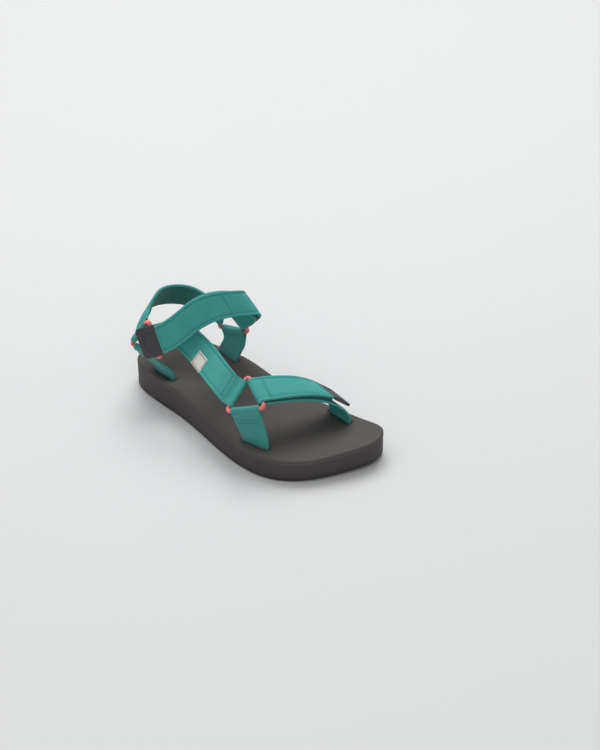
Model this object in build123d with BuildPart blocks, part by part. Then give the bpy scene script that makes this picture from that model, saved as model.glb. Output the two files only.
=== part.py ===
from build123d import *
from math import cos, exp, radians, sin, sqrt, tan
import os

# Strappy sport sandal, right foot, women's size 38 to 39.
# +X points at the toe, +Y at the big-toe (medial) side, +Z up. The origin is the centre of the
# sole's box on the ground. Lengths are millimetres and angles are degrees.

# ---- overall, and what follows it: places in plan move with the sole's length and width ----
sole_length = 250.0
sole_width = 100.0
stretch = sole_length / 250.0
spread = sole_width / 100.0


def spot(x, y, *z):
    """Point whose place in plan follows the sole's length and width."""
    return (x * stretch, y * spread, *z)


# ---- sole ----
heel_x = -sole_length / 2.0
toe_x = sole_length / 2.0
heel_top = 28.5            # sole thickness under the heel
ball_top = 22.6            # sole thickness at the ball of the foot
toe_rise = 3.2             # how far the top climbs again at the toe tip
heel_flat_end = -45.0 * stretch      # the top stays level from the heel to here
ball_x = 88.0 * stretch    # where the top is lowest
spring_start = 62.0 * stretch        # where the underside leaves the ground
toe_spring = 4.0           # how far the underside lifts at the toe tip
arch_rise = 8.5            # how far the footbed climbs at the inner arch
arch_x = -22.0 * stretch   # middle of the arch
arch_length = 42.0 * stretch
heel_cup = 1.8             # hollow under the heel
footbed_thickness = 5.0
outsole_thickness = 4.0    # from tread face to midsole
groove_depth = 1.8
groove_width = 2.4
groove_pitch = 9.0
tread_border = 5.0         # the grooves stop this far inside the edge
border_points = 36
shank_size = (90.0, 26.0, 1.6)
shank_at = spot(-42.0, 8.0)
shank_gap = 0.5            # between the shank and the channels for the webbing tails
shank_corner = 9.0

# ---- webbing, rings and tapes ----
strap_width = 26.0
ply = 1.2                  # one layer of anchor webbing
strap_thickness = 1.9      # one layer of covered strap
lining_thickness = 0.8     # ribbed lining glued inside the heel strap
wire = 3.6                 # diameter of a ring's rod
ring_corner = 3.0          # corner radius on the rod's centre line
bar_spare = 0.6            # straight bar longer than the strap is wide
ring_clearance = 0.1       # between a ring's rod and the strap around it
tape_margin = 1.5          # strap left bare on each side of a tape or lining
tape_start = 10.0          # from a fold to where its tapes start
lining_span = (0.04, 0.96)  # along the heel strap
loop_length = 11.0         # from a ring's rod to the end of a loop's taper
loop_seam = 4.5            # sewn part of that, where the two plies meet
loop_end = 1.0             # it runs this far into its strap
slot_clearance = 0.25      # around a webbing tail in its slot
tail_length = 18.0         # glued under the footbed
tail_depth = 2.0           # how far the tail's centre lies below the footbed
stations = 30              # sections along a strap
body_gap = 0.3             # between pieces that move apart
sewn_gap = 0.9             # between two straps sewn face to face

# ---- ankle rings: centre, and the tilt of the lower bar (front up) ----
lateral_ring_at = spot(-91.8, -26.0, 65.2)
lateral_ring_tilt = 0.0
lateral_ring_lean = 8.0    # the top leans in over the foot
medial_ring_at = spot(-51.7, 42.0, 68.8)
medial_ring_tilt = 14.0
medial_ring_lean = 8.0

# ---- toe ring: centre, direction of its lower bar and its outward normal ----
toe_ring_at = spot(30.1, -32.9, 62.5)
toe_ring_along = (0.873, 0.387, 0.296)
toe_ring_out = (-0.011, -0.592, 0.806)

# ---- where the webbing leaves the footbed (x, y) and the direction of its slot ----
toe_slot = spot(44.9, -39.4)
toe_slot_along = (0.985, 0.173, 0.0)
toe_strap_slot = spot(76.5, 38.8)
toe_strap_slot_along = (0.99, -0.13, 0.0)
lateral_slot = spot(-81.0, -15.8)
lateral_slot_along = (0.995, -0.1, 0.0)
medial_slot = spot(-50.5, 36.8)
medial_slot_along = (0.97, -0.22, 0.0)

# ---- straps ----
instep_rise = spot(-27.5, 37.5, 92.5)        # instep strap on the inner side
instep_crest = spot(-20.5, 29.5, 105.5)      # over the inner edge of the instep
instep_top = spot(-31.5, 15.0, 109.0)        # highest point
instep_side = spot(-52.0, -3.0, 98.5)        # half way up from the outer ring
toe_crest = spot(46.0, -4.0, 63.5)
toe_side = spot(65.5, 27.0, 50.5)
heel_outer = spot(-110.5, 0.0, 83.5)        # heel strap on the outer side
heel_back = spot(-112.0, 19.0, 82.5)         # and at the back
heel_inner = spot(-98.0, 35.5, 79.5)         # and on the inner side
vamp_loop = 7.5                          # its loop is shorter than the others
vamp_aim = spot(-5.0, -43.0, 77.0)           # it leaves the toe ring towards this point
vamp_side = spot(-11.0, -28.5, 73.0)         # half way up the vamp strap
vamp_meets = 0.765                        # how far along the instep strap the vamp strap meets it
vamp_tuck = 7.0                          # vamp strap's end above the instep strap's middle
vamp_clear = 4.0                         # it lies flat from this far outside the instep strap
vamp_skew = 28.0                         # angle at which it crosses under
flap_end_toe = 0.86                      # how far along its strap the toe flap reaches
instep_hinge = 0.36                      # how far along its strap the instep flap peels back to
tab_length = 19.0
tab_thickness = 2.6
tab_reach = 13.0           # how far the instep tab reaches past its ring's bar
tab_overhang = 1.2         # tab wider than the strap on each side
tab_sink = 0.3             # tab deeper than the flap's inner face
tab_seam = 0.3             # between flap and tab
tab_droop = 0.25           # the tab points the way that its strap points this share further on
label_width = 14.0         # across the vamp strap
label_span = (12, 18)      # stations of the vamp strap that it lies between
label_thickness = 0.5
label_side = 1.0           # 1 or -1: the strap's edge that it is sewn to

down = Vector(0, 0, -1)
ring_side = strap_width + bar_spare + 2.0 * ring_corner * sqrt(3.0)      # between sharp corners
bar_offset = ring_side / (2.0 * sqrt(3.0))
grip = wire / 2.0 + ring_clearance       # inner radius of a strap around a ring's rod
tape_thickness = grip - body_gap / 2.0   # hook tape and loop tape fill the space between the plies
shank_drop = tail_depth + ply + slot_clearance + shank_gap + shank_size[2] / 2.0


# ---------------------------------------------------------------- sole surfaces
def ease(value, start, stop):
    """Smooth 0 to 1 step of value between start and stop."""
    share = min(max((value - start) / (stop - start), 0.0), 1.0)
    return share * share * (3.0 - 2.0 * share)


def top_height(x):
    """Height of the footbed's rim at x, without the arch."""
    fall = (heel_top - ball_top) * ease(x, heel_flat_end, ball_x)
    return heel_top - fall + toe_rise * ease(x, ball_x, toe_x)


def arch_height(x):
    """How much higher the footbed is along its inner edge at x."""
    return arch_rise * exp(-(((x - arch_x) / arch_length) ** 2))


def outline():
    """Outline of the sole, seen from above."""
    heel = [(-125, 10), (-119, -12), (-95, -23), (-51, -29.5)]
    outer = [(-5, -41), (36, -49.5), (67, -46.5), (95, -27)]
    tip = [(115, 3), (124.6, 32), (118, 46.5), (100, 50)]
    inner = [(70, 47.5), (35, 42.5), (0, 39), (-35, 42), (-70, 46), (-100, 43), (-119, 31)]
    return [spot(x, y) for x, y in heel + outer + tip + inner]


def rim_curve(drop):
    """Side view of the footbed's rim, lowered by drop."""
    middles = [share * ball_x for share in (0.0, 0.5)]
    xs = [heel_x - 10, heel_x + 20, heel_flat_end, *middles, ball_x, (ball_x + toe_x) / 2.0, toe_x + 10]
    return Spline(*[(x, top_height(x) - drop) for x in xs])


def ground_curve(lift):
    """Side view of the underside, raised by lift: flat, then curving up at the toe."""
    flat = Line((heel_x - 10, lift), (spring_start, lift))
    return flat, TangentArc((spring_start, lift), (toe_x + 10, lift + toe_spring), tangent=(1, 0))


def sole_layer(lower, upper):
    """Slice of the sole between two heights: lifts above the ground or drops below the rim."""
    with BuildSketch(Plane.XZ) as band:
        with BuildLine():
            for curve, height in (lower, upper):
                curve(height)
            for x in (heel_x - 10, toe_x + 10):
                ends = [curve_end(curve, height, x) for curve, height in (lower, upper)]
                Line((x, ends[0]), (x, ends[1]))
        make_face()
    with BuildPart() as layer:
        with BuildSketch(Plane.XY.offset(-5)):
            with BuildLine():
                Spline(*outline(), periodic=True)
            make_face()
        extrude(amount=60)
        extrude(band.sketch, amount=sole_width, both=True, mode=Mode.INTERSECT)
    return layer.part


def curve_end(curve, height, x):
    """Height at which a side-view curve starts or ends."""
    if curve is rim_curve:
        return top_height(x) - height
    return height + (toe_spring if x > 0 else 0.0)


def foot_form(slices=11):
    """Everything above the contoured footbed: what a foot would press into it."""
    with BuildPart() as form:
        for k in range(slices):
            x = heel_x - 12 + (toe_x - heel_x + 24) * k / (slices - 1)
            rim = top_height(x)
            cup = heel_cup * (1.0 - ease(x, heel_flat_end, ball_x))
            arch = arch_height(x)
            with BuildSketch(Plane.YZ.offset(x)):
                with BuildLine():
                    knots = [(-70, rim), (-30, rim - cup * 0.4), (5, rim - cup),
                             (28, rim + arch * 0.35), (42, rim + arch), (70, rim + arch)]
                    floor = Spline(*[(y * spread, z) for y, z in knots])
                    Polyline(floor @ 1, (70 * spread, 90), (-70 * spread, 90), floor @ 0)
                make_face()
        loft()
    return form.part


# ---------------------------------------------------------------- rings and straps
def ankle_ring_plane(at, tilt, lean):
    """Plane of an ankle ring: x along its lower bar, y up, z away from the foot."""
    side = 1.0 if at[1] > 0 else -1.0
    along = Vector(cos(radians(tilt)), 0, sin(radians(tilt)))
    up = Vector(-sin(radians(tilt)), -side * tan(radians(lean)), cos(radians(tilt)))
    return Plane(origin=at, x_dir=along, z_dir=along.cross(up))


def ring_bar(plane, turn):
    """Middle and direction of one bar of a ring. The lower bar has turn 0, the next one 120."""
    out = plane.y_dir * -1
    out = out.rotate(Axis((0, 0, 0), plane.z_dir), turn)
    along = plane.x_dir.rotate(Axis((0, 0, 0), plane.z_dir), turn)
    return plane.origin + out * bar_offset, along, out


def triangle_ring(plane):
    """Triangular ring bent from round rod."""
    reach = 2.0 * bar_offset
    corners = [
        plane.from_local_coords(Vector(reach * cos(radians(a)), reach * sin(radians(a)), 0))
        for a in (90, 210, 330)
    ]
    with BuildPart() as ring:
        with BuildLine() as rod:
            FilletPolyline(*corners, radius=ring_corner, close=True)
        with BuildSketch(Plane(origin=rod.line @ 0, z_dir=rod.line % 0)):
            Circle(wire / 2.0)
        sweep()
    return ring.part


def strap_plane(path, at, across_start, across_end, lift):
    """Plane across a strap: x along its width, y out of its face, z along its path."""
    share = at * at * (3.0 - 2.0 * at)
    across = (across_start * (1.0 - share) + across_end * share).normalized()
    forward = path % at
    forward = (forward - across * forward.dot(across)).normalized()
    face = forward.cross(across).normalized()
    return Plane(origin=(path @ at) + face * lift, x_dir=across, z_dir=forward)


def ribbon(path, across, width, low, high, span=(0.0, 1.0), shift=0.0):
    """Flat strap from low to high above a path, turning from one width direction to another.

    Sections stand on one shared grid of stations, so the layers of a strap lie face to face.
    Shift moves it sideways.
    """
    nearest = 0.3 / stations
    grid = [k / stations for k in range(1, stations)]
    inner = [at for at in grid if span[0] + nearest < at < span[1] - nearest]
    with BuildPart() as strip:
        for at in [span[0], *inner, span[1]]:
            with BuildSketch(strap_plane(path, at, *across, (low + high) / 2.0)):
                with Locations((shift, 0)):
                    Rectangle(width, high - low)
        loft(ruled=True)
    return strip.part


def sewn_loop(at, along, leave, thickness, length=loop_length):
    """Closed loop of webbing around a ring's bar, tapering into the strap it belongs to."""
    eye = Plane(origin=at, x_dir=leave, z_dir=leave.cross(along).cross(leave).normalized())
    with BuildSketch(eye) as outer:
        Circle(grip + ply)
        with Locations((length, 0)):
            Rectangle(loop_end, thickness)
        make_hull()
    with BuildSketch(eye) as inner:
        Circle(grip)
        with Locations((length - loop_seam, 0)):
            Rectangle(0.4, 0.3)
        make_hull()
    with BuildPart() as loop:
        extrude(outer.sketch, amount=strap_width / 2.0, both=True)
        extrude(inner.sketch, amount=strap_width, both=True, mode=Mode.SUBTRACT)
    return loop.part


def pull_tab(path, across, at):
    """Stiff moulded tab that carries on straight from where its flap ends."""
    start = strap_plane(path, at, *across, 0.0)
    ahead = strap_plane(path, at + tab_droop * tab_length / path.length, *across, 0.0)
    middle = start.origin + ahead.y_dir * (grip - tab_sink + tab_thickness / 2.0)
    foot = Plane(origin=middle + ahead.z_dir * tab_seam, x_dir=ahead.x_dir, z_dir=ahead.z_dir)
    with BuildPart() as tab:
        with BuildSketch(foot):
            Rectangle(strap_width + 2.0 * tab_overhang, tab_thickness)
        extrude(amount=tab_length - tab_seam)
    return tab.part


def fold(path, across, low, high):
    """Half turn of strap around a ring's bar at the start of a path."""
    start = strap_plane(path, 0.0, across[0], across[1], 0.0)
    arc_plane = Plane(origin=start.origin, x_dir=start.z_dir * -1, z_dir=start.x_dir)
    with BuildPart() as turn:
        with BuildSketch(arc_plane):
            Circle(high)
            Circle(low, mode=Mode.SUBTRACT)
            with Locations((-high, 0)):
                Rectangle(2.0 * high, 4.0 * high, mode=Mode.SUBTRACT)
        extrude(amount=strap_width / 2.0, both=True)
    return turn.part


def slot_height(x, y):
    """Height of the footbed's surface where a webbing leaves it."""
    inner = ease(y, 5 * spread, 42 * spread)
    return top_height(x) + arch_height(x) * inner


def tail(slot, along, inward, thickness, grow=0.0):
    """Webbing end: down through the footbed, then flat under it towards the sole's middle."""
    mouth = slot_height(*slot) + 2.0
    under = top_height(slot[0]) - footbed_thickness - tail_depth
    side = Vector(*along).normalized()
    flat = Vector(0, 0, 1).cross(side) * inward
    plane = Plane(origin=(slot[0], slot[1], 0), x_dir=flat, z_dir=flat.cross(Vector(0, 0, 1)))
    half = thickness / 2.0 + grow
    with BuildPart() as end:
        with BuildSketch(plane):
            with Locations((0, (mouth + under) / 2.0)):
                Rectangle(2.0 * half, mouth - under + 2.0 * half)
            with Locations((tail_length / 2.0, under)):
                Rectangle(tail_length + 2.0 * half, 2.0 * half)
        extrude(amount=strap_width / 2.0 + grow, both=True)
    return end.part


def mouth_of(slot):
    """Point above a slot where its webbing starts to bend."""
    return Vector(slot[0], slot[1], slot_height(*slot) + 1.5)


def anchor_web(bar, slot, slot_along, thickness=2.0 * ply):
    """Webbing from a ring's lower bar down to its slot."""
    middle, along, out = bar
    target = mouth_of(slot)
    leave = (target - middle)
    leave = (leave - along * leave.dot(along)).normalized()
    start = middle + leave * loop_length
    slant = (target - start) * (1.0 / (target - start).length)
    path = Edge.make_spline([start, target], tangents=[(leave + slant) * 0.5, (down + slant) * 0.5])
    side = Vector(*slot_along).normalized()
    web = ribbon(path, (along, side), strap_width, -thickness / 2.0, thickness / 2.0)
    return sewn_loop(middle, along, leave, thickness), web


lateral_plane = ankle_ring_plane(lateral_ring_at, lateral_ring_tilt, lateral_ring_lean)
medial_plane = ankle_ring_plane(medial_ring_at, medial_ring_tilt, medial_ring_lean)
toe_out = Vector(*toe_ring_out)
toe_across = Vector(*toe_ring_along)
toe_across = toe_across - toe_out * (toe_across.dot(toe_out) / toe_out.dot(toe_out))
toe_plane = Plane(origin=toe_ring_at, x_dir=toe_across, z_dir=toe_out)

# turn of each bar of a ring
anchor_bar = 0
front_bar = 120
rear_bar = 240


def toward(bar, point):
    """Direction in which a strap leaves a bar on its way to a point."""
    middle, along, out = bar
    way = Vector(*point) - middle
    return (way - along * way.dot(along)).normalized()


def aimed(bar, leave, point):
    """Direction within the strap's own plane at a bar, slanted towards a point."""
    middle, along, out = bar
    way = Vector(*point) - middle
    return (leave * way.dot(leave) + along * way.dot(along)).normalized()


# ---------------------------------------------------------------- strap routes
# toe strap: from the toe ring over the forefoot to its slot
toe_bar = ring_bar(toe_plane, front_bar)
toe_start = toward(toe_bar, toe_crest)
slot_side = Vector(*toe_strap_slot_along).normalized()
toe_stack = grip + strap_thickness / 2.0       # from a strap's middle to the fold's axis
toe_face = down.cross(slot_side * -1)
toe_path = Edge.make_spline(
    [toe_bar[0], Vector(*toe_crest), Vector(*toe_side),
     mouth_of(toe_strap_slot) + toe_face * toe_stack],
    tangents=[toe_start, down],
)
toe_turns = (toe_bar[1], slot_side * -1)

# instep strap: from the inner ankle ring over the instep to the outer ankle ring
fold_bar = ring_bar(medial_plane, front_bar)
hold_bar = ring_bar(lateral_plane, front_bar)
hold_leave = toward(hold_bar, instep_side)
hold_face = hold_leave.cross(hold_bar[1])
over_hold = hold_bar[0] + hold_face * toe_stack
instep_path = Edge.make_spline(
    [fold_bar[0], Vector(*instep_rise), Vector(*instep_crest), Vector(*instep_top),
     Vector(*instep_side), over_hold + hold_leave * loop_length, over_hold - hold_leave * tab_reach],
    tangents=[toward(fold_bar, instep_rise), hold_leave * -1],
)
instep_turns = (fold_bar[1] * -1, hold_bar[1] * -1)

# heel strap: from the outer ankle ring round the heel to the inner one
heel_outer_bar = ring_bar(lateral_plane, rear_bar)
heel_inner_bar = ring_bar(medial_plane, rear_bar)
outer_leave = toward(heel_outer_bar, heel_outer)
inner_leave = toward(heel_inner_bar, heel_inner)
heel_skip = loop_length + loop_end / 2.0 + body_gap
heel_path = Edge.make_spline(
    [heel_outer_bar[0] + outer_leave * heel_skip, Vector(*heel_outer), Vector(*heel_back),
     Vector(*heel_inner), heel_inner_bar[0] + inner_leave * heel_skip],
    tangents=[outer_leave, inner_leave * -1],
)
heel_turns = (heel_outer_bar[1], heel_inner_bar[1])

# vamp strap: from the toe ring up to the underside of the instep strap
vamp_bar = ring_bar(toe_plane, rear_bar)
vamp_leave = toward(vamp_bar, vamp_aim)
under = strap_plane(instep_path, vamp_meets, *instep_turns,
                    -grip - 1.5 * strap_thickness - sewn_gap)
vamp_tip = under.x_dir * -cos(radians(vamp_skew)) + under.z_dir * sin(radians(vamp_skew))
vamp_path = Edge.make_spline(
    [vamp_bar[0] + vamp_leave * vamp_loop, Vector(*vamp_side),
     under.origin - vamp_tip * (strap_width / 2.0 + vamp_clear), under.origin + vamp_tip * vamp_tuck],
    tangents=[aimed(vamp_bar, vamp_leave, vamp_side), vamp_tip],
)
vamp_turns = (vamp_bar[1], under.y_dir.cross(vamp_tip))

pieces = {}


def keep(name, shape):
    """Label a finished piece and keep it for export."""
    shape.label = name
    pieces[name] = shape


# ---------------------------------------------------------------- rings
rings = {
    "toe_ring": toe_plane,
    "ankle_ring_lateral": lateral_plane,
    "ankle_ring_medial": medial_plane,
}
for name, plane in rings.items():
    keep(name, triangle_ring(plane))

# ---------------------------------------------------------------- anchors
anchors = (
    ("toe_anchor", ring_bar(toe_plane, anchor_bar), toe_slot, toe_slot_along, 1),
    ("ankle_anchor_lateral", ring_bar(lateral_plane, anchor_bar), lateral_slot, lateral_slot_along, 1),
    ("ankle_anchor_medial", ring_bar(medial_plane, anchor_bar), medial_slot, medial_slot_along, -1),
)
for name, bar, slot, along, inward in anchors:
    loop, web = anchor_web(bar, slot, along)
    end = tail(slot, along, inward, 2.0 * ply)
    with BuildPart() as anchor:
        add(loop)
        add(web)
        add(end)
    keep(name, anchor.part)

# ---------------------------------------------------------------- toe strap
tape_width = strap_width - 2.0 * tape_margin
base_low = -grip - strap_thickness
flap_high = grip + strap_thickness

mm = 1.0 / toe_path.length
tab_from = flap_end_toe - tab_length * mm
web = ribbon(toe_path, toe_turns, strap_width, base_low, -grip)
end = tail(toe_strap_slot, toe_strap_slot_along, -1, strap_thickness)
with BuildPart() as toe_strap_base:
    add(web)
    add(end)
keep("toe_strap_base", toe_strap_base.part)
keep("toe_strap_fold", fold(toe_path, toe_turns, grip, flap_high))
toe_layers = {
    "toe_loop_tape": (tape_width, -grip, -grip + tape_thickness, (tape_start * mm, tab_from)),
    "toe_hook_tape": (tape_width, grip - tape_thickness, grip, (tape_start * mm, tab_from)),
    "toe_flap": (strap_width, grip, flap_high, (body_gap * mm, tab_from)),
}
for name, layer in toe_layers.items():
    keep(name, ribbon(toe_path, toe_turns, *layer))
keep("toe_tab", pull_tab(toe_path, toe_turns, tab_from))

# ---------------------------------------------------------------- instep strap
mm = 1.0 / instep_path.length
base_end = 1.0 - (tab_reach + loop_length) * mm
tab_from = 1.0 - tab_length * mm
peel = instep_hinge + body_gap * mm
web = ribbon(instep_path, instep_turns, strap_width, base_low, -grip, (0.0, base_end))
loop = sewn_loop(hold_bar[0], hold_bar[1], hold_leave, strap_thickness)
with BuildPart() as instep_strap_base:
    add(web)
    add(loop)
keep("instep_strap_base", instep_strap_base.part)
keep("instep_strap_fold", fold(instep_path, instep_turns, grip, flap_high))
instep_layers = {
    "instep_loop_tape": (tape_width, -grip, -grip + tape_thickness, (tape_start * mm, base_end)),
    "instep_flap_root": (strap_width, grip, flap_high, (0.0, instep_hinge)),
    "instep_hook_tape": (tape_width, grip - tape_thickness, grip, (peel, base_end)),
    "instep_flap": (strap_width, grip, flap_high, (peel, tab_from)),
}
for name, layer in instep_layers.items():
    keep(name, ribbon(instep_path, instep_turns, *layer))
keep("instep_tab", pull_tab(instep_path, instep_turns, tab_from))

# ---------------------------------------------------------------- heel strap
half = strap_thickness / 2.0
keep("heel_strap", ribbon(heel_path, heel_turns, strap_width, -half, half))
keep("heel_strap_lining", ribbon(heel_path, heel_turns, tape_width, -half - lining_thickness, -half,
                                 lining_span))
heel_loops = {
    "heel_loop_lateral": (heel_outer_bar, outer_leave),
    "heel_loop_medial": (heel_inner_bar, inner_leave),
}
for name, (bar, leave) in heel_loops.items():
    keep(name, sewn_loop(bar[0], bar[1], leave, strap_thickness))

# ---------------------------------------------------------------- vamp strap
web = ribbon(vamp_path, vamp_turns, strap_width, -half, half)
loop = sewn_loop(vamp_bar[0], vamp_bar[1], vamp_leave, strap_thickness, vamp_loop)
with BuildPart() as vamp_strap:
    add(web)
    add(loop)
keep("vamp_strap", vamp_strap.part)
label_shift = label_side * (strap_width - label_width) / 2.0
label_ends = (label_span[0] / stations, label_span[1] / stations)
keep("vamp_label", ribbon(vamp_path, vamp_turns, label_width, half, half + label_thickness,
                          label_ends, label_shift))

# ---------------------------------------------------------------- sole
tails = [tail(slot, along, inward, 2.0 * ply, slot_clearance) for _, _, slot, along, inward in anchors]
tails.append(tail(toe_strap_slot, toe_strap_slot_along, -1, strap_thickness, slot_clearance))
bed = sole_layer((rim_curve, footbed_thickness), (rim_curve, -arch_rise - 2.0))
form = foot_form()
with BuildPart() as footbed:
    add(bed)
    add(form, mode=Mode.SUBTRACT)
    add(tails, mode=Mode.SUBTRACT)
keep("footbed", footbed.part)

shank_z = heel_top - footbed_thickness - shank_drop
with BuildPart() as shank:
    with Locations((*shank_at, shank_z)):
        Box(*shank_size)
    fillet(shank.edges().filter_by(Axis.Z), radius=shank_corner)
keep("shank", shank.part)

core = sole_layer((ground_curve, outsole_thickness), (rim_curve, footbed_thickness))
with BuildPart() as midsole:
    add(core)
    add(tails, mode=Mode.SUBTRACT)
    add(shank.part, mode=Mode.SUBTRACT)
keep("midsole", midsole.part)

tread = sole_layer((ground_curve, 0.0), (ground_curve, outsole_thickness))
edge = Spline(*outline(), periodic=True)
steps = [step / border_points for step in range(border_points)]
inward = [(edge % step).rotate(Axis.Z, 90.0) * tread_border for step in steps]
with BuildSketch() as tread_middle:
    with BuildLine():
        Spline(*[edge @ step + move for step, move in zip(steps, inward)], periodic=True)
    make_face()
with BuildSketch(Plane.XY.offset(-groove_depth)) as grooves:
    with GridLocations(groove_pitch, 1.0, 2 * int(toe_x / groove_pitch) + 1, 1):
        Rectangle(groove_width, 2.0 * sole_width)
    add(tread_middle.sketch, mode=Mode.INTERSECT)
with BuildPart() as outsole:
    add(tread)
    add(grooves.sketch)
    extrude(amount=2.0 * groove_depth, mode=Mode.SUBTRACT)
keep("outsole", outsole.part)

os.makedirs("parts", exist_ok=True)
for name, shape in pieces.items():
    export_step(shape, f"parts/{name}.step")
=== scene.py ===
"""Looks of a strappy sport sandal, in metres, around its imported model.

Right foot: +X points at the toe, +Y at the inner side and +Z up. Every strap is sewn flat, with x
across it, y along it and z out of its face, and then bent along its route.
"""
import logging
import math
from dataclasses import dataclass, field
from enum import Enum
from typing import Callable, Optional, Sequence

import bmesh
import bpy
import numpy as np
from mathutils import Matrix, Vector


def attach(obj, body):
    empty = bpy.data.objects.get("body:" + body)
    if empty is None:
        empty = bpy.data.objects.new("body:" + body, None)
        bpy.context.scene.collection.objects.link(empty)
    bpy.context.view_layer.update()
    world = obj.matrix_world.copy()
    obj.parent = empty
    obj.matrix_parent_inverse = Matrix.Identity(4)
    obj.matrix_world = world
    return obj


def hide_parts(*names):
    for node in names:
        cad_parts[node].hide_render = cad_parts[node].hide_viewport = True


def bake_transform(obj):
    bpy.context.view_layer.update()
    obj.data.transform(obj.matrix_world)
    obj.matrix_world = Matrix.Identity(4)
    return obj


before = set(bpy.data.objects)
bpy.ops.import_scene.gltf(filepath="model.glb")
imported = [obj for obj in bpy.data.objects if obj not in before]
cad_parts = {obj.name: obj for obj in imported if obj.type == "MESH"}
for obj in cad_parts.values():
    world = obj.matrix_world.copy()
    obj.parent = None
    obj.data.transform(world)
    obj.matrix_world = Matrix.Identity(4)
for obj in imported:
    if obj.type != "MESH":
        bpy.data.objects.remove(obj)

LOG = logging.getLogger("sandal")
MM = 0.001
FACE_UP = Vector((0.0, 0.0, 1.0))

# Webbing slots in the footbed: place in millimetres, and direction.
TOE_SLOT = (44.9, -39.4), Vector((0.985, 0.173, 0.0))
TOE_STRAP_SLOT = (76.5, 38.8), Vector((0.99, -0.13, 0.0))
OUTER_SLOT = (-81.0, -15.8), Vector((0.995, -0.1, 0.0))
INNER_SLOT = (-50.5, 36.8), Vector((0.97, -0.22, 0.0))


# ---------------------------------------------------------------- shared helpers
def millimetres(*values: float) -> Vector:
    """A point given in millimetres, in metres."""
    return Vector(values) * MM


def ease(value: np.ndarray, start: float, stop: float) -> np.ndarray:
    """Smooth 0 to 1 step of value between start and stop."""
    share = np.clip((np.asarray(value, float) - start) / (stop - start), 0.0, 1.0)
    return share * share * (3.0 - 2.0 * share)


def paint(code: str) -> tuple[float, float, float, float]:
    """Linear colour of an sRGB hex code."""
    channels = [int(code[k:k + 2], 16) / 255.0 for k in (0, 2, 4)]
    linear = [c / 12.92 if c <= 0.04045 else ((c + 0.055) / 1.055) ** 2.4 for c in channels]
    return (linear[0], linear[1], linear[2], 1.0)


def add_node(tree: bpy.types.NodeTree, kind: str, links: Optional[dict] = None, **settings) -> bpy.types.Node:
    """Add a node with its settings and links.

    Args:
        tree: node tree that gets the node.
        kind: the node's type name.
        links: input name or number to an output socket, or to a plain value.
        settings: attributes of the node.

    Returns:
        The new node.
    """
    node = tree.nodes.new(kind)
    for name, value in settings.items():
        setattr(node, name, value)
    for name, value in (links or {}).items():
        if isinstance(value, bpy.types.NodeSocket):
            tree.links.new(value, node.inputs[name])
        else:
            node.inputs[name].default_value = value
    return node


def hermite(knots: np.ndarray, times: np.ndarray, slopes: np.ndarray, at: np.ndarray) -> np.ndarray:
    """Points of a cubic curve with given slopes at its knots.

    Args:
        knots: the points that it goes through.
        times: parameter of each knot.
        slopes: derivative at each knot.
        at: parameters to work out.

    Returns:
        One point for each parameter.
    """
    k = np.clip(np.searchsorted(times, at, side="right") - 1, 0, len(times) - 2)
    span = times[k + 1] - times[k]
    u = ((at - times[k]) / span)[:, None]
    span = span[:, None]
    rise = u * u * (3.0 - 2.0 * u)
    first = u * (1.0 - u) ** 2 * span
    last = u * u * (u - 1.0) * span
    return knots[k] * (1.0 - rise) + knots[k + 1] * rise + slopes[k] * first + slopes[k + 1] * last


def smooth_slopes(knots: np.ndarray, times: np.ndarray, first: np.ndarray, last: np.ndarray) -> np.ndarray:
    """Slopes that make a cubic curve through knots bend evenly, with its end slopes given."""
    count = len(knots)
    gaps = np.diff(times)
    rates = np.diff(knots, axis=0) / gaps[:, None]
    matrix = np.eye(count)
    right = np.zeros_like(knots)
    right[0] = first
    right[-1] = last
    for k in range(1, count - 1):
        before, after = 1.0 / gaps[k - 1], 1.0 / gaps[k]
        matrix[k, k - 1:k + 2] = (before, 2.0 * (before + after), after)
        right[k] = 3.0 * (rates[k - 1] * before + rates[k] * after)
    return np.linalg.solve(matrix, right)


def unit(vectors: np.ndarray) -> np.ndarray:
    """Vectors scaled to a length of one."""
    return vectors / np.linalg.norm(vectors, axis=-1, keepdims=True)


# ---------------------------------------------------------------- finishes
def made(geometry: Sequence, kind: type) -> list:
    """The vertices, edges or faces among what an operator made."""
    return [part for part in geometry if isinstance(part, kind)]


class Coordinates(Enum):
    """What a pattern follows."""

    CLOTH = "UV"
    BODY = "Object"


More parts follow.
